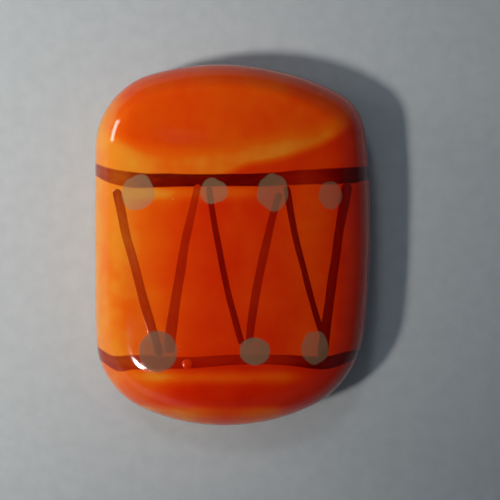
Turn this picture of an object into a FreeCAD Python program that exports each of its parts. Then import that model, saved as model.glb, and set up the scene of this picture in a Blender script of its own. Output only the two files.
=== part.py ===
"""A glazed ceramic charm in the shape of a side drum, lying on its bare flat back.

Millimetres. +X is to the right, +Y points to the drumhead and +Z comes out of the
decorated front. The origin is at the middle of the back, in the plane it rests on.

The charm is one fired piece in layers: a clay body, an orange glaze over its front and
sides, brown brush lines and lacing strokes on the glaze, and grey dots over those.
form(lift) is the whole outer shape moved out by lift, so every layer follows the one
below it.
"""
import FreeCAD, Part
import math
import os
from FreeCAD import Vector

# Overall size
charm_width = 21.5
charm_height = 28.0
charm_depth = 8.0

# Outline: four bowed sides, and four round corners. A corner's radius is that of the
# round front edge plus the radius that is left inside the edge.
top_bow_radius = 21.0
top_peak_x = -1.0
bottom_bow_radius = 16.0
bottom_peak_x = -0.6
left_bow_radius = 300.0
right_bow_radius = 70.0
side_peak_y = 1.5
top_left_inner_radius = 2.3
top_right_inner_radius = 0.4
bottom_left_inner_radius = 2.3
bottom_right_inner_radius = 3.7

# Front: a crown across the width, and a round edge all the way round
crown_radius = 32.0
front_edge_radius = 3.7
back_edge_radius = 0.5

# Hoop lines, from side to side
upper_line_below_top = 8.92
upper_line_width = 1.0
upper_line_rise = 0.5
lower_line_above_bottom = 5.25
lower_line_width = 0.95
lower_line_rise = 0.6

# Drumhead: a shallow dish between the upper line and the top edge
drumhead_side_margin = 0.55
drumhead_centre_below_top = 3.1
drumhead_lip_above_line = 2.1
drumhead_depth = 0.5
drumhead_lip_radius = 0.8

# Hollow between the lower line and the bottom edge: its centre lies this far out on the
# round edge
hollow_side_margin = 3.25
hollow_centre_onto_edge = 1.1
hollow_half_height = 0.9
hollow_depth = 0.22
hollow_lip_radius = 0.6

# Layers on the clay
glaze_thickness = 0.3
glaze_stop_height = 0.6
glaze_lip_radius = 0.2
brush_thickness = 0.06
dot_thickness = 0.12
paint_stop_height = 2.4

# Lacing: its outer strokes keep this far from the sides. Places across the charm are
# shares of the half span that is left.
lacing_side_margin = 1.95

# Strokes: share at the top, the middle and the foot, distance of the top below the upper
# line and of the foot above the lower line, width at the top and at the foot
LACING_STROKES = [
    (-1.01, -0.84, -0.64, 0.98, 1.15, 0.75, 0.75),
    (-0.295, -0.455, -0.535, 0.68, 1.85, 0.65, 0.9),
    (-0.2, -0.115, 0.09, 0.88, 1.45, 0.5, 0.5),
    (0.365, 0.24, 0.15, 1.58, 1.55, 0.65, 0.6),
    (0.465, 0.615, 0.795, 0.88, 2.35, 0.5, 0.45),
    (1.0, 0.9, 0.795, 0.73, 0.85, 0.8, 0.8),
]

# Dots: share across, distance of the centre from the line inwards, half width, half height
UPPER_DOTS = [
    (-0.82, 1.13, 1.25, 1.48),
    (-0.165, 1.08, 1.07, 1.06),
    (0.36, 1.13, 1.2, 1.38),
    (0.85, 1.23, 0.95, 1.06),
]
LOWER_DOTS = [
    (-0.64, 0.65, 1.52, 1.63),
    (0.19, 0.75, 1.27, 1.18),
    (0.725, 0.9, 1.18, 1.41),
]

# Bead of glaze on the lower line
bead_share = -0.385
bead_below_line = 0.3
bead_radius = 0.42
bead_height = 0.25

# Places that follow from the sizes above
half_width = charm_width / 2
half_height = charm_height / 2
upper_line_y = half_height - upper_line_below_top
lower_line_y = lower_line_above_bottom - half_height
lacing_half_span = half_width - lacing_side_margin

# Tools that cut or trim are this tall, and a brush mark has this many points a side
TOOL_HEIGHT = 3 * charm_depth
BRUSH_STEPS = 8

# Directions, and the turns that keep the seams of round tools out of the charm
LENGTHWISE = Vector(0, 1, 0)
UPWARDS = Vector(0, 0, 1)
UPRIGHT_SEAM_TURN = 45
CROWN_SEAM_TURN = 90


def upright(radius, x, y):
    """A tall cylinder about an upright axis."""
    foot = Vector(x, y, 0)
    cylinder = Part.makeCylinder(radius, TOOL_HEIGHT, foot)
    cylinder.rotate(foot, UPWARDS, UPRIGHT_SEAM_TURN)
    return cylinder


def crown_height(x):
    """Height of the crown above the back, at a distance x from the middle."""
    return charm_depth - crown_radius + math.sqrt(crown_radius ** 2 - x ** 2)


def corner_edge(block, right, top):
    """The upright edge at one of the four corners of the bowed block."""
    for edge in block.Edges:
        box = edge.BoundBox
        tall = box.ZLength > TOOL_HEIGHT - 0.01 and box.XLength < 0.01
        at_corner = abs(box.Center.x) > half_width / 2 and abs(box.Center.y) > half_height / 2
        if tall and at_corner and (box.Center.x > 0) == right and (box.Center.y > 0) == top:
            return edge


def block(lift):
    """The outline as a tall block: four bowed sides, then the four corners rounded."""
    left_x = left_bow_radius - half_width
    right_x = half_width - right_bow_radius
    top_y = half_height - top_bow_radius
    bottom_y = bottom_bow_radius - half_height
    shape = upright(top_bow_radius + lift, top_peak_x, top_y)
    shape = shape.common(upright(bottom_bow_radius + lift, bottom_peak_x, bottom_y))
    shape = shape.common(upright(left_bow_radius + lift, left_x, side_peak_y))
    shape = shape.common(upright(right_bow_radius + lift, right_x, side_peak_y))
    corners = [
        (False, True, top_left_inner_radius),
        (True, True, top_right_inner_radius),
        (False, False, bottom_left_inner_radius),
        (True, False, bottom_right_inner_radius),
    ]
    for right, top, inner_radius in corners:
        radius = inner_radius + front_edge_radius + lift
        shape = shape.makeFillet(radius, [corner_edge(shape, right, top)])
    return shape


def sink_dish(shape, centre_y, reach_x, reach_y, depth, lip_radius, lift):
    """Sink an elliptical dish into the crown with a wide ring, and round its rim."""
    floor_radius = 1 / (1 / crown_radius - 2 * depth / reach_x ** 2)
    section_radius = reach_y ** 2 / (2 * depth)
    ring_radius = floor_radius + section_radius
    centre = Vector(0, centre_y, charm_depth - depth - floor_radius)
    ring = Part.makeTorus(ring_radius, section_radius - lift, centre, LENGTHWISE)
    ring.rotate(centre, LENGTHWISE, CROWN_SEAM_TURN)
    sunk = shape.cut(ring)
    rim = []
    for face in sunk.Faces:
        if isinstance(face.Surface, Part.Toroid) and face.Surface.MajorRadius > crown_radius:
            if face.Surface.Center.distanceToPoint(centre) < 0.01:
                rim += face.Edges
    return sunk.makeFillet(lip_radius + lift, rim)


def form(lift):
    """The whole outer shape, moved out by lift all over its front and sides."""
    axis_start = Vector(0, -charm_height, charm_depth - crown_radius)
    crown = Part.makeCylinder(crown_radius + lift, 2 * charm_height, axis_start, LENGTHWISE)
    crown.rotate(axis_start, LENGTHWISE, CROWN_SEAM_TURN)
    shape = block(lift).common(crown)
    front_edges = [edge for edge in shape.Edges if edge.BoundBox.ZMin > glaze_stop_height]
    shape = shape.makeFillet(front_edge_radius + lift, front_edges)
    drumhead_y = half_height - drumhead_centre_below_top
    drumhead_reach = drumhead_y - (upper_line_y + drumhead_lip_above_line)
    shape = sink_dish(shape, drumhead_y, half_width - drumhead_side_margin, drumhead_reach,
                      drumhead_depth, drumhead_lip_radius, lift)
    hollow_y = front_edge_radius - hollow_centre_onto_edge - half_height
    shape = sink_dish(shape, hollow_y, half_width - hollow_side_margin, hollow_half_height,
                      hollow_depth, hollow_lip_radius, lift)
    return shape.Solids[0]


def edges_at_height(shape, height):
    """The edges of a shape that lie flat at one height."""
    found = []
    for edge in shape.Edges:
        box = edge.BoundBox
        if abs(box.ZMin - height) < 0.01 and abs(box.ZMax - height) < 0.01:
            found.append(edge)
    return found


def clay_body():
    """The solid bisque body under the glaze, bare on its flat back."""
    shape = form(-glaze_thickness)
    return shape.makeFillet(back_edge_radius, edges_at_height(shape, 0))


def orange_glaze(outer):
    """The glaze coat over the front and sides, which stops in a lip above the back."""
    above_stop = Part.makeBox(2 * charm_width, 2 * charm_height, TOOL_HEIGHT,
                              Vector(-charm_width, -charm_height, glaze_stop_height))
    blank = outer.common(above_stop)
    blank = blank.makeFillet(glaze_lip_radius, edges_at_height(blank, glaze_stop_height))
    return blank.cut(form(-glaze_thickness))


def spline(points):
    """A smooth curve through points."""
    curve = Part.BSplineCurve()
    curve.interpolate(points)
    return curve


def brush_prism(path, start_width, end_width):
    """An upright prism over a brush mark along path, with round ends."""
    line = spline([Vector(x, y, paint_stop_height) for x, y in path])
    left = []
    right = []
    for step in range(BRUSH_STEPS + 1):
        share = step / BRUSH_STEPS
        at = line.FirstParameter + share * (line.LastParameter - line.FirstParameter)
        along = line.tangent(at)[0]
        brush_reach = (start_width + share * (end_width - start_width)) / 2
        across = Vector(-along.y, along.x, 0) * brush_reach
        left.append(line.value(at) + across)
        right.append(line.value(at) - across)
    start_tip = line.StartPoint - line.tangent(line.FirstParameter)[0] * start_width / 2
    end_tip = line.EndPoint + line.tangent(line.LastParameter)[0] * end_width / 2
    edges = [
        spline(left).toShape(),
        Part.Arc(left[-1], end_tip, right[-1]).toShape(),
        spline(right[::-1]).toShape(),
        Part.Arc(right[0], start_tip, left[0]).toShape(),
    ]
    return Part.Face(Part.Wire(edges)).extrude(Vector(0, 0, TOOL_HEIGHT))


def hoop_line_prism(y, width, rise):
    """An upright prism over a hoop line that runs across the charm and lifts at its ends."""
    reach = half_width + width
    path = [(-reach, y + rise), (-half_width / 2, y), (half_width / 2, y), (reach, y + rise)]
    return brush_prism(path, width, width)


def lacing_prism(top, middle, foot, top_gap, foot_gap, top_width, foot_width):
    """An upright prism over one lacing stroke, between the two hoop lines."""
    path = [
        (top * lacing_half_span, upper_line_y - top_gap),
        (middle * lacing_half_span, (upper_line_y + lower_line_y) / 2),
        (foot * lacing_half_span, lower_line_y + foot_gap),
    ]
    return brush_prism(path, top_width, foot_width)


def dot_prism(x, y, reach_x, reach_y):
    """An upright elliptical prism over one dot."""
    centre = Vector(x, y, paint_stop_height)
    outline = Part.Ellipse(centre, max(reach_x, reach_y), min(reach_x, reach_y)).toShape()
    if reach_y > reach_x:
        outline.rotate(centre, UPWARDS, 90)
    return Part.Face(Part.Wire(outline)).extrude(Vector(0, 0, TOOL_HEIGHT))


def glaze_bead(outer):
    """A low bead of glaze that stands on the lower hoop line."""
    bead_x = bead_share * lacing_half_span
    sphere_z = crown_height(bead_x) + bead_height - bead_radius
    centre = Vector(bead_x, lower_line_y - bead_below_line, sphere_z)
    return Part.makeSphere(bead_radius, centre).cut(outer)


def build():
    """All nodes by name, from the clay outwards."""
    outer = form(0)
    brushed = form(brush_thickness)
    brush_film = brushed.cut(outer)
    dot_film = form(dot_thickness).cut(outer)

    upper_prism = hoop_line_prism(upper_line_y, upper_line_width, upper_line_rise)
    lower_prism = hoop_line_prism(lower_line_y, lower_line_width, lower_line_rise)
    lacing_prisms = [lacing_prism(*stroke) for stroke in LACING_STROKES]

    nodes = {
        "clay_body": clay_body(),
        "orange_glaze": orange_glaze(outer),
        "upper_hoop_line": brush_film.common(upper_prism),
        "lower_hoop_line": brush_film.common(lower_prism),
    }
    for number, prism in enumerate(lacing_prisms, 1):
        stops = [upper_prism, lower_prism] + lacing_prisms[number:]
        nodes[f"lacing_stroke_{number}"] = brush_film.common(prism).cut(stops)

    marks_below = [brushed.common(prism) for prism in [upper_prism, lower_prism] + lacing_prisms]
    rows = [("upper", UPPER_DOTS, upper_line_y, -1), ("lower", LOWER_DOTS, lower_line_y, 1)]
    for row, dots, line_y, inwards in rows:
        for number, (share, gap, reach_x, reach_y) in enumerate(dots, 1):
            y = line_y + inwards * gap
            prism = dot_prism(share * lacing_half_span, y, reach_x, reach_y)
            nodes[f"{row}_dot_{number}"] = dot_film.common(prism).cut(marks_below)
    nodes["glaze_bead"] = glaze_bead(outer).cut(marks_below[1])
    return nodes


os.makedirs("parts", exist_ok=True)
for name, shape in build().items():
    shape.exportStep(f"parts/{name}.step")
    solids = len(shape.Solids)
    print(f"{name}: {solids} solid, valid {shape.isValid()}, {shape.Volume:.3f} mm3")
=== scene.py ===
import math

import bmesh
import bpy
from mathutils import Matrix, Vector, noise
from mathutils.bvhtree import BVHTree


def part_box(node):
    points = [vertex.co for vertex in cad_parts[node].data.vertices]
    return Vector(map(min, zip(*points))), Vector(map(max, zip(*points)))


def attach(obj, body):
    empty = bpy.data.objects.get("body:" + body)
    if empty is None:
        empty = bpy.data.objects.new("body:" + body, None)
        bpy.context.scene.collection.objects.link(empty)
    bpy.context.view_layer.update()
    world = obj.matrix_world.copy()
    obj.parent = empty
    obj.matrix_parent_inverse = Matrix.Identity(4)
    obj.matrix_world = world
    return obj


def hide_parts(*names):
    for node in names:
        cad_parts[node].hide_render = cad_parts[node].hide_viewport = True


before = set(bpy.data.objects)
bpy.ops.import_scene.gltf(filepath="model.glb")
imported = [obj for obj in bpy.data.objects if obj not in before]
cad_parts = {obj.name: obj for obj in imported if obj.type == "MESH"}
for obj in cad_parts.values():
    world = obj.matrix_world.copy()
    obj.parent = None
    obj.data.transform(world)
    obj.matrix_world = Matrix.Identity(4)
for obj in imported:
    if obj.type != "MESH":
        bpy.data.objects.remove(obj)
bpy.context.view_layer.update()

MM = 0.001

# ---------------------------------------------------------------- sizes of the charm

GLAZE_LOW, GLAZE_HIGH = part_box("orange_glaze")
HALF_WIDTH = (GLAZE_HIGH.x - GLAZE_LOW.x) / 2
HALF_HEIGHT = (GLAZE_HIGH.y - GLAZE_LOW.y) / 2
DEPTH = GLAZE_HIGH.z
GLAZE_STOP = GLAZE_LOW.z

TOP_BOW = 21.0 * MM
TOP_PEAK_X = -1.0 * MM
BOTTOM_BOW = 16.0 * MM
BOTTOM_PEAK_X = -0.6 * MM
LEFT_BOW = 300.0 * MM
RIGHT_BOW = 70.0 * MM
SIDE_PEAK_Y = 1.5 * MM
EDGE_RADIUS = 3.7 * MM
TOP_LEFT_RADIUS = 6.0 * MM
TOP_RIGHT_RADIUS = 4.1 * MM
BOTTOM_LEFT_RADIUS = 6.0 * MM
BOTTOM_RIGHT_RADIUS = 7.4 * MM
CROWN_RADIUS = 32.0 * MM

GLAZE_THICKNESS = 0.3 * MM
LIP_RADIUS = 0.2 * MM
STOP_WAVE = 0.22 * MM

# A dish: centre y, reach across, reach along, depth, softness of its rim
DRUMHEAD = (10.9 * MM, 10.2 * MM, 3.7 * MM, 0.5 * MM, 0.12 * MM)
HOLLOW = (-11.4 * MM, 7.5 * MM, 0.9 * MM, 0.22 * MM, 0.05 * MM)

UNDULATION = 0.035 * MM
UNDULATION_SIZE = 3.6 * MM

# ---------------------------------------------------------------- camera, lights, floor

VIEW_WIDTH = 38.9 * MM
VIEW_CENTRE = Vector((1.36 * MM, -0.39 * MM, 0))
CAMERA_HEIGHT = 160 * MM
SENSOR_WIDTH = 36.0

# Room: a bright band low on its lower left walls, which slants, and a dark ceiling.
# A fade is the value where it is full and the value where it is gone.
TO_LOWER_LEFT = (-0.85, -0.53, 0)
LOWER_LEFT_FADE = (0.92, 0.62)
BAND_SLANT = 0.36
BAND_FADE = (-0.01, 0.11)
ABOVE_BAND = 0.06
BAND_STRENGTH = 0.50
WALL_STRENGTH = 0.07
CEILING_FADE = (0.45, 0.75)
CEILING_SHARE = 0.1
ROOM_COLOUR = (0.84, 0.93, 1.0, 1)


def look_at(obj, target):
    """Turn a lamp or the camera towards a point."""
    obj.rotation_euler = (target - obj.location).to_track_quat("-Z", "Y").to_euler()


def add_camera():
    """A camera straight above the charm, with the drumhead upwards."""
    data = bpy.data.cameras.new("camera")
    data.sensor_width = SENSOR_WIDTH
    data.lens = SENSOR_WIDTH * (CAMERA_HEIGHT - DEPTH / 2) / VIEW_WIDTH
    data.clip_start = 5 * MM
    data.clip_end = 10
    camera = bpy.data.objects.new("camera", data)
    camera.location = VIEW_CENTRE + Vector((0, 0, CAMERA_HEIGHT))
    bpy.context.scene.collection.objects.link(camera)
    bpy.context.scene.camera = camera


def add_panel(name, location, size_x, size_y, power, colour):
    """A soft rectangular lamp that faces the charm."""
    data = bpy.data.lights.new(name, "AREA")
    data.shape = "RECTANGLE"
    data.size = size_x
    data.size_y = size_y
    data.energy = power
    data.color = colour
    lamp = bpy.data.objects.new(name, data)
    lamp.location = location
    look_at(lamp, Vector((0, 0, DEPTH / 2)))
    bpy.context.scene.collection.objects.link(lamp)
    return lamp


def from_charm(distance, azimuth, elevation):
    """A place at a distance from the charm, azimuth turning from +X towards +Y."""
    a = math.radians(azimuth)
    e = math.radians(elevation)
    return Vector((math.cos(e) * math.cos(a), math.cos(e) * math.sin(a), math.sin(e))) * distance


def add_spot(name, location, target, reach, power, colour, softness):
    """A soft round lamp whose light fades out at a distance from its target."""
    data = bpy.data.lights.new(name, "SPOT")
    data.spot_size = 2 * math.atan(reach / (location - target).length)
    data.spot_blend = 1
    data.shadow_soft_size = softness
    data.energy = power
    data.color = colour
    lamp = bpy.data.objects.new(name, data)
    lamp.location = location
    look_at(lamp, target)
    bpy.context.scene.collection.objects.link(lamp)
    return lamp


def add_room():
    """Dim walls, brighter low down towards the lower left, and a dark ceiling."""
    world = bpy.data.worlds.new("room")
    world.use_nodes = True
    nodes, links = world.node_tree.nodes, world.node_tree.links
    background = nodes["Background"]
    direction = nodes.new("ShaderNodeTexCoord").outputs["Generated"]
    split = nodes.new("ShaderNodeSeparateXYZ")
    links.new(direction, split.inputs["Vector"])
    height = split.outputs["Z"]
    lower_left = nodes.new("ShaderNodeVectorMath")
    lower_left.operation = "DOT_PRODUCT"
    lower_left.inputs[1].default_value = TO_LOWER_LEFT
    links.new(direction, lower_left.inputs[0])
    slanted = maths(nodes, links, "MULTIPLY_ADD", split.outputs["Y"], BAND_SLANT, height)
    near_table = fading(nodes, links, slanted, *BAND_FADE)
    low = maths(nodes, links, "MULTIPLY_ADD", near_table, 1 - ABOVE_BAND, ABOVE_BAND)
    lit = fading(nodes, links, lower_left.outputs["Value"], *LOWER_LEFT_FADE)
    lit_low = maths(nodes, links, "MULTIPLY", lit, low)
    strength = maths(nodes, links, "MULTIPLY_ADD", lit_low, BAND_STRENGTH, WALL_STRENGTH)
    below = fading(nodes, links, height, *CEILING_FADE)
    dimmed = maths(nodes, links, "MULTIPLY_ADD", below, 1 - CEILING_SHARE, CEILING_SHARE)
    strength = maths(nodes, links, "MULTIPLY", strength, dimmed)
    links.new(strength, background.inputs["Strength"])
    background.inputs["Color"].default_value = ROOM_COLOUR
    bpy.context.scene.world = world


def add_lights():
    """A key lamp at the left, a far table lamp, a low window and two lamps that fill shade."""
    add_spot("key", from_charm(0.40, 199, 52), Vector((-0.044, 0.008, 0)),
             reach=0.068, power=6.4, colour=(1.0, 0.965, 0.92), softness=0.028)
    add_spot("table_lamp", Vector((-0.24, -0.15, 0.40)), Vector((-0.18, -0.11, 0)),
             reach=0.16, power=8.5, colour=(1.0, 0.97, 0.94), softness=0.03)
    add_panel("low_window", from_charm(0.30, 163.5, 12),
              size_x=0.088, size_y=0.050, power=0.19, colour=(1.0, 0.97, 0.92))
    fill = add_panel("fill", from_charm(0.28, 130, 80),
                     size_x=0.30, size_y=0.30, power=0.12, colour=(0.60, 0.82, 1.0))
    upper_lamp = add_spot("upper_lamp", from_charm(0.38, 112, 58), Vector((-0.004, 0.028, 0)),
                          reach=0.046, power=1.9, colour=(0.86, 0.94, 1.0), softness=0.06)
    for lamp in (fill, upper_lamp):
        lamp.visible_glossy = False
    add_room()


def add_floor():
    """A plain pale cool table top."""
    bm = bmesh.new()
    bmesh.ops.create_grid(bm, x_segments=1, y_segments=1, size=0.6)
    floor = new_piece("floor", bm)
    nodes, links, shader = new_material("pale_table", floor)
    grain = add_noise(nodes, links, 900, 3)
    colour = ramp(nodes, links, grain.outputs["Fac"],
                  [(0.35, (0.43, 0.45, 0.46)), (0.65, (0.46, 0.48, 0.49))])
    links.new(colour, shader.inputs["Base Color"])
    shader.inputs["Roughness"].default_value = 0.6


# ---------------------------------------------------------------- meshes and materials


def new_piece(name, bm, smooth=True):
    """An object at the origin that holds a finished bmesh."""
    mesh = bpy.data.meshes.new(name)
    bm.to_mesh(mesh)
    bm.free()
    for polygon in mesh.polygons:
        polygon.use_smooth = smooth
    piece = bpy.data.objects.new(name, mesh)
    bpy.context.scene.collection.objects.link(piece)
    return piece


def new_material(name, *pieces):
    """A node material on some pieces: its nodes, links and shader."""
    material = bpy.data.materials.new(name)
    material.use_nodes = True
    for piece in pieces:
        piece.data.materials.clear()
        piece.data.materials.append(material)
    tree = material.node_tree
    return tree.nodes, tree.links, tree.nodes["Principled BSDF"]


def object_coordinates(nodes):
    """The object coordinates, in metres."""
    return nodes.new("ShaderNodeTexCoord").outputs["Object"]


def add_noise(nodes, links, scale, detail):
    """Noise in object coordinates, scale in cells a metre."""
    node = nodes.new("ShaderNodeTexNoise")
    node.inputs["Scale"].default_value = scale
    node.inputs["Detail"].default_value = detail
    links.new(object_coordinates(nodes), node.inputs["Vector"])
    return node


def ramp(nodes, links, value, stops):
    """Colours for a value, from a list of (place, colour)."""
    node = nodes.new("ShaderNodeValToRGB")
    elements = node.color_ramp.elements
    while len(elements) < len(stops):
        elements.new(0.5)
    for element, (place, colour) in zip(elements, stops):
        element.position = place
        element.color = (*colour, 1)
    links.new(value, node.inputs["Fac"])
    return node.outputs["Color"]


def maths(nodes, links, operation, *values):
    """One maths node on up to three values, each a socket or a number."""
    node = nodes.new("ShaderNodeMath")
    node.operation = operation
    for socket, value in zip(node.inputs, values):
        if isinstance(value, (int, float)):
            socket.default_value = value
        else:
            links.new(value, socket)
    return node.outputs[0]


def blend_colours(nodes, links, share, first, second, mode="MIX"):
    """Two colours mixed by a share, each a socket or a colour."""
    node = nodes.new("ShaderNodeMix")
    node.data_type = "RGBA"
    node.blend_type = mode
    node_inputs = [node.inputs[0], node.inputs[6], node.inputs[7]]
    for socket, value in zip(node_inputs, (share, first, second)):
        if isinstance(value, tuple):
            socket.default_value = (*value, 1)
        elif isinstance(value, (int, float)):
            socket.default_value = value
        else:
            links.new(value, socket)
    return node.outputs[2]


def attribute(nodes, name):
    """A value that a piece carries at each of its points."""
    node = nodes.new("ShaderNodeAttribute")
    node.attribute_name = name
    return node.outputs["Fac"]


def fading(nodes, links, value, full, gone):
    """One where a value has reached full, nothing where it has reached gone."""
    node = nodes.new("ShaderNodeMapRange")
    node.interpolation_type = "SMOOTHSTEP"
    node.inputs["From Min"].default_value = gone
    node.inputs["From Max"].default_value = full
    links.new(value, node.inputs["Value"])
    return node.outputs["Result"]


# ---------------------------------------------------------------- the charm's form


def corner_centre(first, second, radius, towards):
    """Centre of the round corner that touches two bowed sides from inside."""
    (centre_a, radius_a), (centre_b, radius_b) = first, second
    reach_a = radius_a - radius
    reach_b = radius_b - radius
    gap = centre_b - centre_a
    along = (reach_a ** 2 - reach_b ** 2 + gap.length_squared) / (2 * gap.length)
    off = math.sqrt(reach_a ** 2 - along ** 2)
    unit = gap.normalized()
    side = Vector((-unit.y, unit.x))
    choices = [centre_a + unit * along + side * off, centre_a + unit * along - side * off]
    return max(choices, key=lambda point: point.dot(towards))


def outline_arcs():
    """The outline as arcs, anticlockwise: (centre, radius, start angle, turn)."""
    right = (Vector((HALF_WIDTH - RIGHT_BOW, SIDE_PEAK_Y)), RIGHT_BOW)
    top = (Vector((TOP_PEAK_X, HALF_HEIGHT - TOP_BOW)), TOP_BOW)
    left = (Vector((LEFT_BOW - HALF_WIDTH, SIDE_PEAK_Y)), LEFT_BOW)
    bottom = (Vector((BOTTOM_PEAK_X, BOTTOM_BOW - HALF_HEIGHT)), BOTTOM_BOW)
    corners = [
        (bottom, right, BOTTOM_RIGHT_RADIUS, Vector((1, -1))),
        (right, top, TOP_RIGHT_RADIUS, Vector((1, 1))),
        (top, left, TOP_LEFT_RADIUS, Vector((-1, 1))),
        (left, bottom, BOTTOM_LEFT_RADIUS, Vector((-1, -1))),
    ]
    rounds = []
    for before, after, radius, towards in corners:
        centre = corner_centre(before, after, radius, towards)
        start = centre - before[0]
        end = centre - after[0]
        rounds.append((centre, radius, math.atan2(start.y, start.x), math.atan2(end.y, end.x)))
    first_angle = -math.acos(-bottom[0].x / bottom[1])
    arcs = [(bottom[0], bottom[1], first_angle, (rounds[0][2] - first_angle) % math.tau)]
    for number, (centre, radius, start, end) in enumerate(rounds):
        arcs.append((centre, radius, start, (end - start) % math.tau))
        side_centre, side_radius = corners[number][1]
        last = number == len(rounds) - 1
        side_end = first_angle if last else rounds[number + 1][2]
        arcs.append((side_centre, side_radius, end, (side_end - end) % math.tau))
    return arcs


ARCS = outline_arcs()
OUTLINE_LENGTH = sum(radius * turn for _, radius, _, turn in ARCS)


def outline(share):
    """Point on the outline and its outward direction, at a share of its length.
    It starts at the middle of the bottom and runs anticlockwise."""
    distance = (share % 1) * OUTLINE_LENGTH
    for centre, radius, start, turn in ARCS:
        length = radius * turn
        if distance <= length or (centre, radius, start, turn) == ARCS[-1]:
            angle = start + distance / radius
            outward = Vector((math.cos(angle), math.sin(angle)))
            return centre + outward * radius, outward
        distance -= length


def crown_height(x, lift=0):
    """Height of the crown at x."""
    return DEPTH - CROWN_RADIUS + math.sqrt((CROWN_RADIUS + lift) ** 2 - x ** 2)


def dish_height(x, y, dish, lift):
    """Height of the floor of a dish, carried on past its rim."""
    centre_y, reach_x, reach_y, depth, _ = dish
    floor_radius = 1 / (1 / CROWN_RADIUS - 2 * depth / reach_x ** 2)
    section = reach_y ** 2 / (2 * depth)
    rise = (y - centre_y) ** 2 / (2 * section)
    return DEPTH - depth - floor_radius + rise + math.sqrt((floor_radius + lift) ** 2 - x ** 2)


def soft_lower(a, b, softness):
    """The lower of two heights, rounded where they meet."""
    share = max(softness - abs(a - b), 0) / softness
    return min(a, b) - share * share * softness / 4


def with_relief(point, lift):
    """A point of the plain form with the drumhead and the hollow sunk into it."""
    z = point.z
    for dish in (DRUMHEAD, HOLLOW):
        z = soft_lower(z, dish_height(point.x, point.y, dish, lift), dish[4])
    return Vector((point.x, point.y, min(z, point.z)))


def undulating(point, outward):
    """A point moved in or out a little, as on any hand-pressed piece."""
    amount = noise.noise(point / UNDULATION_SIZE)
    return point + outward * (amount * UNDULATION)


# ---------------------------------------------------------------- the glaze coat

# Points round the coat, and rows of them up its outer and its inner skin
STATIONS = 560
WALL_ROWS = 9
EDGE_ROWS = 22
TOP_ROWS = 52
LIP_ROWS = 4
INNER_WALL_ROWS = 2
INNER_EDGE_ROWS = 8
INNER_TOP_ROWS = 10
SPINE_HALF = 4.6 * MM
MERGE_DISTANCE = 0.0002 * MM


def form_column(share, lift, wall_rows, edge_rows, top_rows, foot_z):
    """Points up one side of the form, from foot_z to the spine, with their directions."""
    point, outward = outline(share)
    mirror, _ = outline(1 - share)
    inner = point - outward * EDGE_RADIUS
    inner_crown = CROWN_RADIUS - EDGE_RADIUS
    inner_z = DEPTH - CROWN_RADIUS + math.sqrt(inner_crown ** 2 - inner.x ** 2)
    centre = Vector((inner.x, inner.y, inner_z))
    sideways = Vector((outward.x, outward.y, 0))
    upwards = Vector((inner.x, 0, inner_z + CROWN_RADIUS - DEPTH)).normalized()
    radius = EDGE_RADIUS + lift
    column = []
    for row in range(wall_rows):
        z = foot_z + (inner_z - foot_z) * row / wall_rows
        column.append((Vector((inner.x, inner.y, z)) + sideways * radius, sideways))
    for row in range(edge_rows + 1):
        direction = sideways.slerp(upwards, row / edge_rows)
        column.append((centre + direction * radius, direction))
    start = column[-1][0]
    spine_y = max(-SPINE_HALF, min(SPINE_HALF, (point.y + mirror.y) / 2))
    for row in range(1, top_rows + 1):
        way = row / top_rows
        x = start.x * (1 - way)
        y = start.y + (spine_y - start.y) * way
        column.append((Vector((x, y, crown_height(x, lift))), Vector((0, 0, 1))))
    return column


def extrude_ring(bm, edges, station):
    """Extrude a ring of edges. The new ring's edges, and its points by station."""
    made = bmesh.ops.extrude_edge_only(bm, edges=edges)["geom"]
    points = {vert[station]: vert for vert in made if isinstance(vert, bmesh.types.BMVert)}
    fresh = set(points.values())
    ring = [edge for edge in made if isinstance(edge, bmesh.types.BMEdge)
            and edge.verts[0] in fresh and edge.verts[1] in fresh]
    return ring, points


def first_ring(bm, count):
    """A ring of points numbered by station."""
    station = bm.verts.layers.int.new("station")
    made = bmesh.ops.create_circle(bm, segments=count, radius=1)["verts"]
    for number, vert in enumerate(made):
        vert[station] = number
    return station, list(bm.edges), {vert[station]: vert for vert in made}


def stop_height(share):
    """Height at which the glaze stops: it wavers round the charm."""
    angle = share * math.tau
    place = Vector((math.cos(angle), math.sin(angle), 0)) * 2.3
    return GLAZE_STOP + STOP_WAVE * (0.5 + 0.5 * noise.noise(place * 3))


def coat_columns():
    """For each station, the rows of the outer and of the inner skin, from the lip."""
    outer = []
    inner = []
    for number in range(STATIONS):
        share = number / STATIONS
        stop = stop_height(share)
        point, outward = outline(share)
        sideways = Vector((outward.x, outward.y, 0))
        edge = Vector((point.x, point.y, 0))
        lip = [edge - sideways * LIP_RADIUS + Vector((0, 0, stop))]
        for row in range(1, LIP_ROWS):
            angle = math.pi / 2 * row / LIP_ROWS
            across = LIP_RADIUS * (math.sin(angle) - 1)
            up = LIP_RADIUS * (1 - math.cos(angle))
            lip.append(edge + sideways * across + Vector((0, 0, stop + up)))
        column = form_column(share, 0, WALL_ROWS, EDGE_ROWS, TOP_ROWS, stop + LIP_RADIUS)
        outer.append(lip + [undulating(with_relief(p, 0), d) for p, d in column])
        column = form_column(share, -GLAZE_THICKNESS, INNER_WALL_ROWS, INNER_EDGE_ROWS,
                             INNER_TOP_ROWS, stop)
        inner.append([with_relief(p, -GLAZE_THICKNESS) for p, _ in column])
    return outer, inner


def grow_skin(bm, station, edges, columns, first_row):
    """Extrude ring after ring from edges, one for each row of the columns."""
    for row in range(first_row, len(columns[0])):
        edges, points = extrude_ring(bm, edges, station)
        for number, vert in points.items():
            vert.co = columns[number][row]


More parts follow.
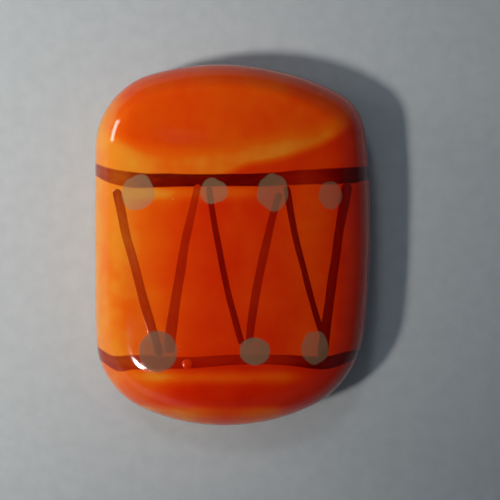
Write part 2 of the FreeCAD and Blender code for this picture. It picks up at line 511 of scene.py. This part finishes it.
def build_coat():
    """The glaze coat: an outer and an inner skin that meet in the lip."""
    bm = bmesh.new()
    station, edges, points = first_ring(bm, STATIONS)
    outer, inner = coat_columns()
    for number, vert in points.items():
        vert.co = inner[number][0]
    grow_skin(bm, station, edges, inner, 1)
    grow_skin(bm, station, edges, outer, 0)
    bmesh.ops.remove_doubles(bm, verts=bm.verts, dist=MERGE_DISTANCE)
    bmesh.ops.recalc_face_normals(bm, faces=bm.faces)
    return bm


# ---------------------------------------------------------------- brush marks and dots

BRUSH_FILM = 0.006 * MM
DOT_FILM = 0.006 * MM
SUNK_EDGE = 0.002 * MM
FILM_BODY = 0.05 * MM
PAINT_STOP = 2.4 * MM
BEAD = (-0.385, 0.3 * MM, 0.40 * MM, 0.10 * MM)
ABOVE = 20 * MM
ANGLE_TRIES = 400
BLUNT_TIP = 0.02
LOAD_RIM = (0.05, 0.35)
LACING_HALF_SPAN = HALF_WIDTH - 1.95 * MM
UPPER_LINE_Y = HALF_HEIGHT - 8.92 * MM
LOWER_LINE_Y = 5.25 * MM - HALF_HEIGHT

# Hoop lines: for places x across the charm, the rise, the width and the load of paint.
# The bead above: share across, distance below the lower line, radius and height
UPPER_LINE = {
    "y": UPPER_LINE_Y,
    "rise": [(-10.7, 0.80), (-9.3, 0.20), (-7.5, -0.12), (-5, -0.17), (1, -0.16), (5, 0.03),
             (9, 0.24), (10.6, 0.50)],
    "width": [(-10.7, 1.15), (-8.5, 1.40), (-5, 1.15), (1, 1.08), (5, 1.25), (9, 1.42),
              (10.6, 1.25)],
    "load": [(-10.7, 0.70), (-9.5, 0.55), (-8.2, 0.50), (-6.5, 0.90), (-4, 1.05), (2, 1.05),
             (4.8, 0.62), (6.2, 0.58), (8.0, 0.95), (9.3, 1.25), (10.6, 1.2)],
}
LOWER_LINE = {
    "y": LOWER_LINE_Y,
    "rise": [(-10.7, 0.45), (-10.1, 0.19), (-9.1, -0.33), (-7.6, -0.20), (-3.8, -0.22), (0.6, 0.04),
             (4.1, 0.0), (7.2, -0.26), (8.9, 0.13), (9.8, 0.45), (10.5, 0.75)],
    "width": [(-10.7, 1.2), (-9.1, 1.38), (-7.6, 1.30), (-3.8, 1.02), (0.6, 0.90), (4.1, 0.97),
              (7.2, 1.22), (8.9, 1.08), (9.8, 0.72), (10.5, 0.6)],
    "load": [(-10.7, 0.80), (-9.6, 0.62), (-7.5, 0.52), (-3.8, 0.42), (0.6, 0.45), (4.1, 0.55),
             (6.8, 1.05), (8.9, 1.0), (10.0, 0.8), (10.5, 0.7)],
}

# Lacing: share across at the top, middle and foot; gap below the upper line and above the
# lower line; widths and loads along the stroke
LACING = [
    ((-1.01, -0.84, -0.62), 0.80, 0.3,
     [(0, 0.80), (1, 0.80)], [(0, 0.62), (0.3, 0.42), (1, 0.56)]),
    ((-0.29, -0.445, -0.545), 0.45, 0.5,
     [(0, 0.62), (0.5, 0.82), (1, 1.0)], [(0, 0.30), (0.5, 0.40), (1, 0.46)]),
    ((-0.2, -0.078, 0.085), 0.62, 1.2,
     [(0, 0.52), (1, 0.58)], [(0, 0.66), (0.5, 0.74), (1, 0.66)]),
    ((0.41, 0.245, 0.145), 1.1, 1.3,
     [(0, 0.62), (0.6, 0.78), (1, 0.65)], [(0, 0.52), (0.5, 0.44), (1, 0.54)]),
    ((0.465, 0.615, 0.80), 0.6, 1.6,
     [(0, 0.58), (0.5, 0.54), (1, 0.50)], [(0, 0.84), (0.5, 0.86), (1, 0.92)]),
    ((1.0, 0.885, 0.78), 0.3, 0.1,
     [(0, 1.0), (0.45, 0.80), (1, 0.90)], [(0, 0.74), (0.5, 0.72), (1, 0.95)]),
]

# Dots: share across, gap from the line inwards, half width, half height, lean of the
# outline, cover, and milkiness with painted light: upper dots are paler towards the lit left
UPPER_DOTS = [
    (-0.82, 1.10, 1.36, 1.54, 0.16, 0.50, 0.70),
    (-0.162, 1.03, 1.12, 1.08, 0.14, 0.56, 0.44),
    (0.353, 1.09, 1.27, 1.53, 0.17, 0.56, 0.28),
    (0.851, 1.30, 0.98, 1.14, 0.10, 0.50, 0.22),
]
LOWER_DOTS = [
    (-0.641, 0.65, 1.62, 1.72, 0.04, 0.70, 0.06),
    (0.195, 0.70, 1.27, 1.15, 0.07, 0.80, 0.16),
    (0.718, 0.92, 1.15, 1.40, 0.11, 0.60, 0.26),
]


def eased(stops, at):
    """A value on the smooth curve through stops, which are (place, value) pairs."""
    places = [place for place, _ in stops]
    values = [value for _, value in stops]
    if at <= places[0]:
        return values[0]
    if at >= places[-1]:
        return values[-1]
    start = max(number for number, place in enumerate(places) if place <= at)
    slopes = []
    for number in (start, start + 1):
        before = max(number - 1, 0)
        after = min(number + 1, len(stops) - 1)
        slopes.append((values[after] - values[before]) / (places[after] - places[before]))
    span = places[start + 1] - places[start]
    t = (at - places[start]) / span
    change = values[start + 1] - values[start]
    bend = t * (1 - t) * span * (slopes[0] * (1 - t) - slopes[1] * t)
    return values[start] + change * t * t * (3 - 2 * t) + bend


def band(value, centre, reach):
    """A soft band: one at its centre and near nothing twice its reach away."""
    return math.exp(-((value - centre) / reach) ** 2)


def step(value, low, high):
    """Nothing below low, one above high, and eased between."""
    share = min(max((value - low) / (high - low), 0), 1)
    return share * share * (3 - 2 * share)


# The thin crescent of glaze on the drumhead's lip, from its lower to its upper side
CRESCENT_TOP = [(-10.6, 9.4), (-9.0, 8.4), (-7.2, 7.5), (-4.1, 7.15), (-0.9, 7.4), (2.0, 8.0),
                (5.3, 8.6), (7.4, 9.3), (9.0, 10.4), (10.6, 12.0)]
CRESCENT_FOOT = [(-10.6, 4.6), (-1.0, 5.0), (1.1, 5.9), (3.2, 6.3), (5.3, 6.9), (7.4, 7.8),
                 (9.0, 9.0), (10.6, 11.5)]


def glaze_thinness_and_light(point):
    """How thin the glaze lies, with painted light: high on ridges and towards the lit left, low in
    pools and in the shaded right.
    """
    x, y = point.x / MM, point.y / MM
    # Painted light: here and in the lines below, the glaze is made paler towards the left, where
    # the key lamp falls, and deeper red towards the shaded right.
    left = step(x, -1.5, -10.0)
    head = 0.66 + 0.28 * step(x, -6.8, -10.3) - 0.06 * step(x, 4.0, 9.0)
    # The lip's thin glaze, paler at its left end with painted light and darker at its right end
    # with painted shade.
    crescent = 0.85 + 0.13 * step(x, -4.0, -9.0) - 0.44 * step(x, 7.0, 10.2)
    below_crescent = 0.46 + 0.40 * left - 0.10 * step(x, 6.5, 9.5)
    shell = 0.46 + 0.46 * left + 0.10 * step(x, -9.6, -10.6)
    shell = shell + 0.10 * band(x, 5.6, 1.6) - 0.10 * step(x, 6.9, 8.6)
    # Painted light: a paler lit stripe just under the upper line, where the form has no ridge.
    shell += 0.26 * band(y, 3.95, 0.55) * step(x, 5.0, -0.5) * step(x, -9.5, -6.5)
    foot = 0.32 + 0.52 * left
    # Thin glaze on the upper rim of the hollow, widened into a paler painted lit stripe.
    foot += 0.38 * band(y, -10.05, 0.55) * step(x, 6.6, 3.6) * step(x, -8.5, -5.0)
    # Thin glaze on the bottom rim, partly a painted reflection along it.
    lobes = 0.80 + 0.20 * math.cos((x + 3.2) * 1.15)
    foot += 0.48 * step(y, -12.05, -12.75) * lobes * step(x, 7.0, 3.5)
    thin = foot + (shell - foot) * step(y, -9.4, -8.8)
    thin += (below_crescent - thin) * step(y, 4.9, 5.3)
    crescent_foot = eased(CRESCENT_FOOT, x)
    crescent_top = eased(CRESCENT_TOP, x)
    thin += (crescent - thin) * step(y, crescent_foot - 0.30, crescent_foot + 0.55)
    thin += (head - thin) * step(y, crescent_top - 1.00, crescent_top + 0.75)
    thin += 0.09 * noise.noise(point / (2.8 * MM)) + 0.04 * noise.noise(point / (0.9 * MM))
    return min(max(thin, 0), 1)


def set_thinness_and_light(bm):
    """Give each point of a piece how thin the glaze lies there, with its painted light and shade.
    """
    layer = bm.verts.layers.float.new("thinness_and_light")
    for vert in bm.verts:
        vert[layer] = glaze_thinness_and_light(vert.co)


def dropped(tree, x, y):
    """The place on a surface straight below (x, y)."""
    return tree.ray_cast(Vector((x, y, ABOVE)), Vector((0, 0, -1)))[0]


def reached(y, angle):
    """The place on the coat seen from its lengthwise axis at an angle from +X upwards."""
    outward = Vector((math.cos(angle), 0, math.sin(angle)))
    axis = Vector((0, y, PAINT_STOP))
    hit = COAT_TREE.ray_cast(axis + outward * ABOVE, -outward)[0]
    return hit, outward


def even_angles(y, count):
    """Angles from the left side over to the right, evenly spaced along the surface."""
    tries = [math.pi * (1 - number / ANGLE_TRIES) for number in range(ANGLE_TRIES + 1)]
    places = [reached(y, angle)[0] for angle in tries]
    lengths = [0.0]
    for before, after in zip(places, places[1:]):
        lengths.append(lengths[-1] + (after - before).length)
    angles = []
    index = 0
    for number in range(count + 1):
        goal = lengths[-1] * number / count
        while index < ANGLE_TRIES - 1 and lengths[index + 1] < goal:
            index += 1
        share = (goal - lengths[index]) / (lengths[index + 1] - lengths[index])
        angles.append(tries[index] + (tries[index + 1] - tries[index]) * share)
    return angles, lengths[-1]


def crowded(value):
    """A place from -1 to 1 moved outwards, so that rows crowd at the rim of a mark."""
    return math.sin(value * math.pi / 2)


def strip(columns, rows):
    """A grid of points, columns along and rows across, with the layers of a brush mark."""
    bm = bmesh.new()
    bmesh.ops.create_grid(bm, x_segments=columns, y_segments=rows, size=1)
    layers = {name: bm.verts.layers.float.new(name) for name in ("load", "across", "along")}
    return bm, layers


def film_height(place, film):
    """Height of a paint film above the glaze: flat in the middle and sunk in at the edge."""
    return film * (1 - place ** 4) - SUNK_EDGE * place ** 16


def brush_end(share, length, width):
    """Share of the full width near the round ends of a mark."""
    reach = min(share, 1 - share) * length / (width / 2)
    return math.sqrt(max(1 - (1 - min(reach, 1)) ** 2, BLUNT_TIP ** 2))


def build_hoop_line(line, columns=300, rows=16):
    """A brush line from one side over the crown to the other."""
    bm, layers = strip(columns, rows)
    angles, length = even_angles(line["y"], columns)
    for vert in bm.verts:
        share = (vert.co.x + 1) / 2
        across = crowded(vert.co.y)
        angle = angles[round(share * columns)]
        x = reached(line["y"], angle)[0].x / MM
        width = eased(line["width"], x) * MM
        width *= 1 + 0.08 * noise.noise(Vector((share * 14, line["y"] / MM, 0)))
        shake = 0.05 * MM * noise.noise(Vector((share * 9, across * 0.3, line["y"] / MM)))
        reach = width / 2 * brush_end(share, length, width)
        y = line["y"] + eased(line["rise"], x) * MM + shake + across * reach
        place, outward = reached(y, angle)
        vert[layers["load"]] = eased(line["load"], x)
        vert[layers["across"]] = across
        vert[layers["along"]] = share * length / MM
        vert.co = place + outward * film_height(across, BRUSH_FILM)
    set_thinness_and_light(bm)
    return bm


def build_stroke(stroke, number, columns=150, rows=12):
    """A lacing stroke: a gently bent brush mark with round ends."""
    shares, top_gap, foot_gap, widths, loads = stroke
    top = Vector((shares[0] * LACING_HALF_SPAN, UPPER_LINE_Y - top_gap * MM))
    middle = Vector((shares[1] * LACING_HALF_SPAN, (UPPER_LINE_Y + LOWER_LINE_Y) / 2))
    foot = Vector((shares[2] * LACING_HALF_SPAN, LOWER_LINE_Y + foot_gap * MM))
    length = (foot - top).length
    bm, layers = strip(columns, rows)
    for vert in bm.verts:
        t = (vert.co.x + 1) / 2
        across = crowded(vert.co.y)
        centre = top * (1 - t) * (1 - 2 * t) + middle * 4 * t * (1 - t) + foot * t * (2 * t - 1)
        along = top * (4 * t - 3) + middle * (4 - 8 * t) + foot * (4 * t - 1)
        sideways = Vector((-along.y, along.x)).normalized()
        width = eased(widths, t) * MM
        width *= 1 + 0.12 * noise.noise(Vector((t * 6, number * 7.3, 0)))
        shake = 0.06 * MM * noise.noise(Vector((t * 5, number * 3.1, 5)))
        place = centre + sideways * (shake + across * width / 2 * brush_end(t, length, width))
        vert[layers["load"]] = eased(loads, t)
        vert[layers["across"]] = across
        vert[layers["along"]] = t * length / MM + number * 20
        vert.co = dropped(COAT_TREE, place.x, place.y)
        vert.co.z += film_height(across, BRUSH_FILM)
    set_thinness_and_light(bm)
    return bm


def laid_over(x, y, trees):
    """The top of the glaze and the brush marks at (x, y), and the densest load there."""
    top = dropped(COAT_TREE, x, y)
    densest = 0.0
    for tree, loads in trees:
        hit = tree.ray_cast(Vector((x, y, ABOVE)), Vector((0, 0, -1)))
        if hit[0] is not None:
            top.z = max(top.z, hit[0].z)
            densest = max(densest, loads[hit[2]])
    return top, densest


def build_dot(x, y, reach_x, reach_y, lean, cover, milk_and_light, seed, trees):
    """A thin round dab of colour with a soft edge, over what is already painted."""
    segments, rings = 120, 24
    bm = bmesh.new()
    layers = {name: bm.verts.layers.float.new(name)
              for name in ("below", "radial", "cover", "milk_and_light")}
    station, edges, points = first_ring(bm, segments)

    def place_ring(points, radius):
        for number, vert in points.items():
            angle = math.tau * number / segments
            wobble = 1 + lean * noise.noise(Vector((math.cos(angle), math.sin(angle), seed)) * 1.4)
            around = Vector((math.cos(angle) * reach_x, math.sin(angle) * reach_y)) * wobble
            spot = Vector((x, y)) + around * radius
            vert.co, vert[layers["below"]] = laid_over(spot.x, spot.y, trees)
            vert[layers["radial"]] = radius
            vert[layers["cover"]] = cover
            vert[layers["milk_and_light"]] = milk_and_light
            vert.co.z += film_height(radius, DOT_FILM)

    place_ring(points, 1)
    for ring in range(1, rings + 1):
        edges, points = extrude_ring(bm, edges, station)
        place_ring(points, crowded(1 - ring / rings))
    bmesh.ops.remove_doubles(bm, verts=bm.verts, dist=MERGE_DISTANCE)
    bmesh.ops.recalc_face_normals(bm, faces=bm.faces)
    set_thinness_and_light(bm)
    return bm


def build_bead(x, y, radius, height):
    """A low round bead of glaze with a foot that spreads a little."""
    bm = bmesh.new()
    bmesh.ops.create_uvsphere(bm, u_segments=48, v_segments=24, radius=1)
    foot = dropped(COAT_TREE, x, y)
    for vert in bm.verts:
        spread = 1 + 0.25 * max(-vert.co.z, 0)
        vert.co = Vector((vert.co.x * radius * spread, vert.co.y * radius * spread,
                          vert.co.z * height)) + foot
    set_thinness_and_light(bm)
    return bm


# ---------------------------------------------------------------- finishes

# Where the colour of a mark starts to fade and where it is gone, as shares of the way out
BRUSH_FADE = (0.72, 0.95)
DOT_FADE = (0.84, 0.97)
GLAZE_IOR = 1.5
GLAZE_REFLECTION = 0.4
CELLS_WITHOUT_SPECKS = 0.72


def glaze_colour(nodes, links):
    """The colour of the orange glaze: deep red where it pools, yellow where it is thin, with
    painted light and shade carried in from the glaze map.
    """
    mottle = add_noise(nodes, links, 700, 4)
    shift = maths(nodes, links, "MULTIPLY_ADD", mottle.outputs["Fac"], 0.12, -0.06)
    thin = maths(nodes, links, "ADD", attribute(nodes, "thinness_and_light"), shift)
    return ramp(nodes, links, thin, [
        (0.00, (0.34, 0.003, 0.0002)),
        (0.20, (0.54, 0.008, 0.0002)),
        (0.40, (0.66, 0.019, 0.0003)),
        (0.60, (0.74, 0.048, 0.0006)),
        (0.80, (0.78, 0.106, 0.002)),
        (1.00, (0.77, 0.270, 0.018)),
    ])


def pinholes(nodes, links, scale, size):
    """Tiny round specks, far apart: one in a speck and nothing outside."""
    node = nodes.new("ShaderNodeTexVoronoi")
    node.inputs["Scale"].default_value = scale
    links.new(object_coordinates(nodes), node.inputs["Vector"])
    near = maths(nodes, links, "LESS_THAN", node.outputs["Distance"], size)
    chosen = maths(nodes, links, "GREATER_THAN", node.outputs["Color"],
                   CELLS_WITHOUT_SPECKS)
    return maths(nodes, links, "MULTIPLY", near, chosen)


def add_bump(nodes, links, shader, height, strength, distance):
    """Fine relief on a finish, its depth in metres."""
    bump = nodes.new("ShaderNodeBump")
    bump.inputs["Strength"].default_value = strength
    bump.inputs["Distance"].default_value = distance
    links.new(height, bump.inputs["Height"])
    links.new(bump.outputs["Normal"], shader.inputs["Normal"])


def glossy(nodes, links, shader, roughness, swing):
    """A fired gloss surface: low roughness that varies a little, and a fine ripple."""
    smear = add_noise(nodes, links, 260, 3)
    value = maths(nodes, links, "MULTIPLY_ADD", smear.outputs["Fac"], swing, roughness)
    links.new(value, shader.inputs["Roughness"])
    ripple = add_noise(nodes, links, 420, 2)
    add_bump(nodes, links, shader, ripple.outputs["Fac"], 0.35, 0.02 * MM)
    shader.inputs["IOR"].default_value = GLAZE_IOR
    shader.inputs["Specular IOR Level"].default_value = GLAZE_REFLECTION


def finish_glaze(*pieces):
    """Orange glaze: gloss, mottled, with a few pinholes."""
    nodes, links, shader = new_material("orange_glaze", *pieces)
    colour = glaze_colour(nodes, links)
    specks = pinholes(nodes, links, 520, 0.035)
    colour = blend_colours(nodes, links, maths(nodes, links, "MULTIPLY", specks, 0.5), colour,
                           (0.8, 0.3, 0.12))
    links.new(colour, shader.inputs["Base Color"])
    glossy(nodes, links, shader, 0.04, 0.06)


def brush_density(nodes, links):
    """How much brown hides the glaze across and along a brush mark."""
    across = maths(nodes, links, "ABSOLUTE", attribute(nodes, "across"))
    place = nodes.new("ShaderNodeCombineXYZ")
    links.new(maths(nodes, links, "MULTIPLY", attribute(nodes, "along"), 0.5), place.inputs["X"])
    links.new(maths(nodes, links, "MULTIPLY", attribute(nodes, "across"), 0.9), place.inputs["Y"])
    streak = nodes.new("ShaderNodeTexNoise")
    streak.inputs["Scale"].default_value = 1.6
    streak.inputs["Detail"].default_value = 4
    links.new(place.outputs["Vector"], streak.inputs["Vector"])
    streaked = maths(nodes, links, "MULTIPLY_ADD", streak.outputs["Fac"], 0.6, 0.70)
    body = maths(nodes, links, "MULTIPLY", attribute(nodes, "load"), streaked)
    rim = maths(nodes, links, "POWER", across, 3.0)
    pooled = maths(nodes, links, "MULTIPLY_ADD", rim, 0.25, 0.92)
    density = maths(nodes, links, "MULTIPLY", body, pooled)
    return maths(nodes, links, "MULTIPLY", density, fading(nodes, links, across, *BRUSH_FADE))


def browned(nodes, links, density, base):
    """The glaze seen through a translucent brown of some density."""
    stain = ramp(nodes, links, maths(nodes, links, "MULTIPLY", density, 0.7), [
        (0.00, (1.0, 1.0, 1.0)),
        (0.21, (0.64, 0.40, 0.36)),
        (0.42, (0.40, 0.13, 0.12)),
        (0.63, (0.235, 0.045, 0.05)),
        (0.85, (0.13, 0.02, 0.03)),
        (1.00, (0.08, 0.01, 0.02)),
    ])
    return blend_colours(nodes, links, 1.0, base, stain, "MULTIPLY")


def finish_brushwork(*pieces):
    """Dark red-brown brushwork: translucent, streaked, darker where the brush stopped."""
    nodes, links, shader = new_material("brown_brushwork", *pieces)
    colour = browned(nodes, links, brush_density(nodes, links), glaze_colour(nodes, links))
    links.new(colour, shader.inputs["Base Color"])
    glossy(nodes, links, shader, 0.05, 0.06)


def finish_dots(*pieces):
    """Warm grey dots, half see-through, cloudy, with a soft edge, paler where they carry painted
    light.
    """
    nodes, links, shader = new_material("grey_dots", *pieces)
    under = browned(nodes, links, attribute(nodes, "below"), glaze_colour(nodes, links))
    cloud = add_noise(nodes, links, 1100, 4)
    cloudy = maths(nodes, links, "MULTIPLY_ADD", cloud.outputs["Fac"], 0.5, 0.75)
    cover = maths(nodes, links, "MULTIPLY", attribute(nodes, "cover"), cloudy)
    cover = maths(nodes, links, "MULTIPLY", cover,
                  fading(nodes, links, attribute(nodes, "radial"), *DOT_FADE))
    # Dot grey: paler with more milk and with the painted light carried in that same value.
    grey = ramp(nodes, links, attribute(nodes, "milk_and_light"), [
        (0.0, (0.150, 0.098, 0.056)),
        (1.0, (0.40, 0.27, 0.135)),
    ])
    links.new(blend_colours(nodes, links, cover, under, grey), shader.inputs["Base Color"])
    glossy(nodes, links, shader, 0.07, 0.08)


def finish_clay(piece):
    """Bare bisque: chalky, speckled, slightly rough."""
    nodes, links, shader = new_material("bisque_clay", piece)
    cloud = add_noise(nodes, links, 350, 6)
    colour = ramp(nodes, links, cloud.outputs["Fac"],
                  [(0.3, (0.66, 0.57, 0.46)), (0.7, (0.78, 0.70, 0.59))])
    specks = pinholes(nodes, links, 1600, 0.22)
    colour = blend_colours(nodes, links, maths(nodes, links, "MULTIPLY", specks, 0.5), colour,
                           (0.30, 0.20, 0.13))
    links.new(colour, shader.inputs["Base Color"])
    shader.inputs["Roughness"].default_value = 0.85
    grit = add_noise(nodes, links, 4200, 5)
    add_bump(nodes, links, shader, grit.outputs["Fac"], 0.6, 0.03 * MM)


# ---------------------------------------------------------------- the charm


def settle(piece, node):
    """A finished piece stands for its node and rides on the charm."""
    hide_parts(node)
    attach(piece, "root")


def give_body(piece):
    """Turn a paint film into a thin closed solid that is bedded in the glaze."""
    solid = piece.modifiers.new("bedding", "SOLIDIFY")
    solid.thickness = FILM_BODY
    solid.offset = -1


def load_tree(bm):
    """A mark to cast rays at, with the load of paint on each of its faces."""
    bm.faces.ensure_lookup_table()
    load = bm.verts.layers.float["load"]
    across = bm.verts.layers.float["across"]
    loads = []
    for face in bm.faces:
        from_rim = 1 - min(abs(vert[across]) for vert in face.verts)
        loads.append(max(vert[load] for vert in face.verts) * step(from_rim, *LOAD_RIM))
    return BVHTree.FromBMesh(bm), loads


def add_brushwork():
    """The hoop lines and the lacing strokes, and what to cast rays at for the dots."""
    marks = [("upper_line_paint", "upper_hoop_line", build_hoop_line(UPPER_LINE)),
             ("lower_line_paint", "lower_hoop_line", build_hoop_line(LOWER_LINE))]
    for number, stroke in enumerate(LACING, 1):
        marks.append((f"stroke_{number}_paint", f"lacing_stroke_{number}",
                      build_stroke(stroke, number)))
    pieces = []
    trees = []
    for name, node, bm in marks:
        bmesh.ops.recalc_face_normals(bm, faces=bm.faces)
        if sum(face.normal.z for face in bm.faces) < 0:
            bmesh.ops.reverse_faces(bm, faces=bm.faces)
        trees.append(load_tree(bm))
        piece = new_piece(name, bm)
        give_body(piece)
        settle(piece, node)
        pieces.append(piece)
    return pieces, trees


def add_dots(trees):
    """The four dots under the upper line and the three on the lower line."""
    pieces = []
    rows = [("upper", UPPER_DOTS, UPPER_LINE_Y, -1), ("lower", LOWER_DOTS, LOWER_LINE_Y, 1)]
    for row, table, line_y, inwards in rows:
        for number, (share, gap, reach_x, reach_y, lean, cover, milk_and_light) in enumerate(table, 1):
            x = share * LACING_HALF_SPAN
            y = line_y + inwards * gap * MM
            seed = number * 3.7 + inwards
            bm = build_dot(x, y, reach_x * MM, reach_y * MM, lean, cover, milk_and_light, seed, trees)
            piece = new_piece(f"{row}_dab_{number}", bm)
            give_body(piece)
            settle(piece, f"{row}_dot_{number}")
            pieces.append(piece)
    return pieces


def add_bead():
    """The bead of glaze just below the lower line."""
    share, below, radius, height = BEAD
    bm = build_bead(share * LACING_HALF_SPAN, LOWER_LINE_Y - below, radius, height)
    piece = new_piece("bead_drop", bm)
    settle(piece, "glaze_bead")
    return piece


add_camera()
add_lights()
add_floor()

coat_bm = build_coat()
set_thinness_and_light(coat_bm)
COAT_TREE = BVHTree.FromBMesh(coat_bm)
coat = new_piece("glaze_coat", coat_bm)
settle(coat, "orange_glaze")

brushwork, brushwork_trees = add_brushwork()
dots = add_dots(brushwork_trees)
bead = add_bead()

finish_glaze(coat, bead)
finish_brushwork(*brushwork)
finish_dots(*dots)
finish_clay(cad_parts["clay_body"])

bpy.context.scene.view_settings.view_transform = "Standard"
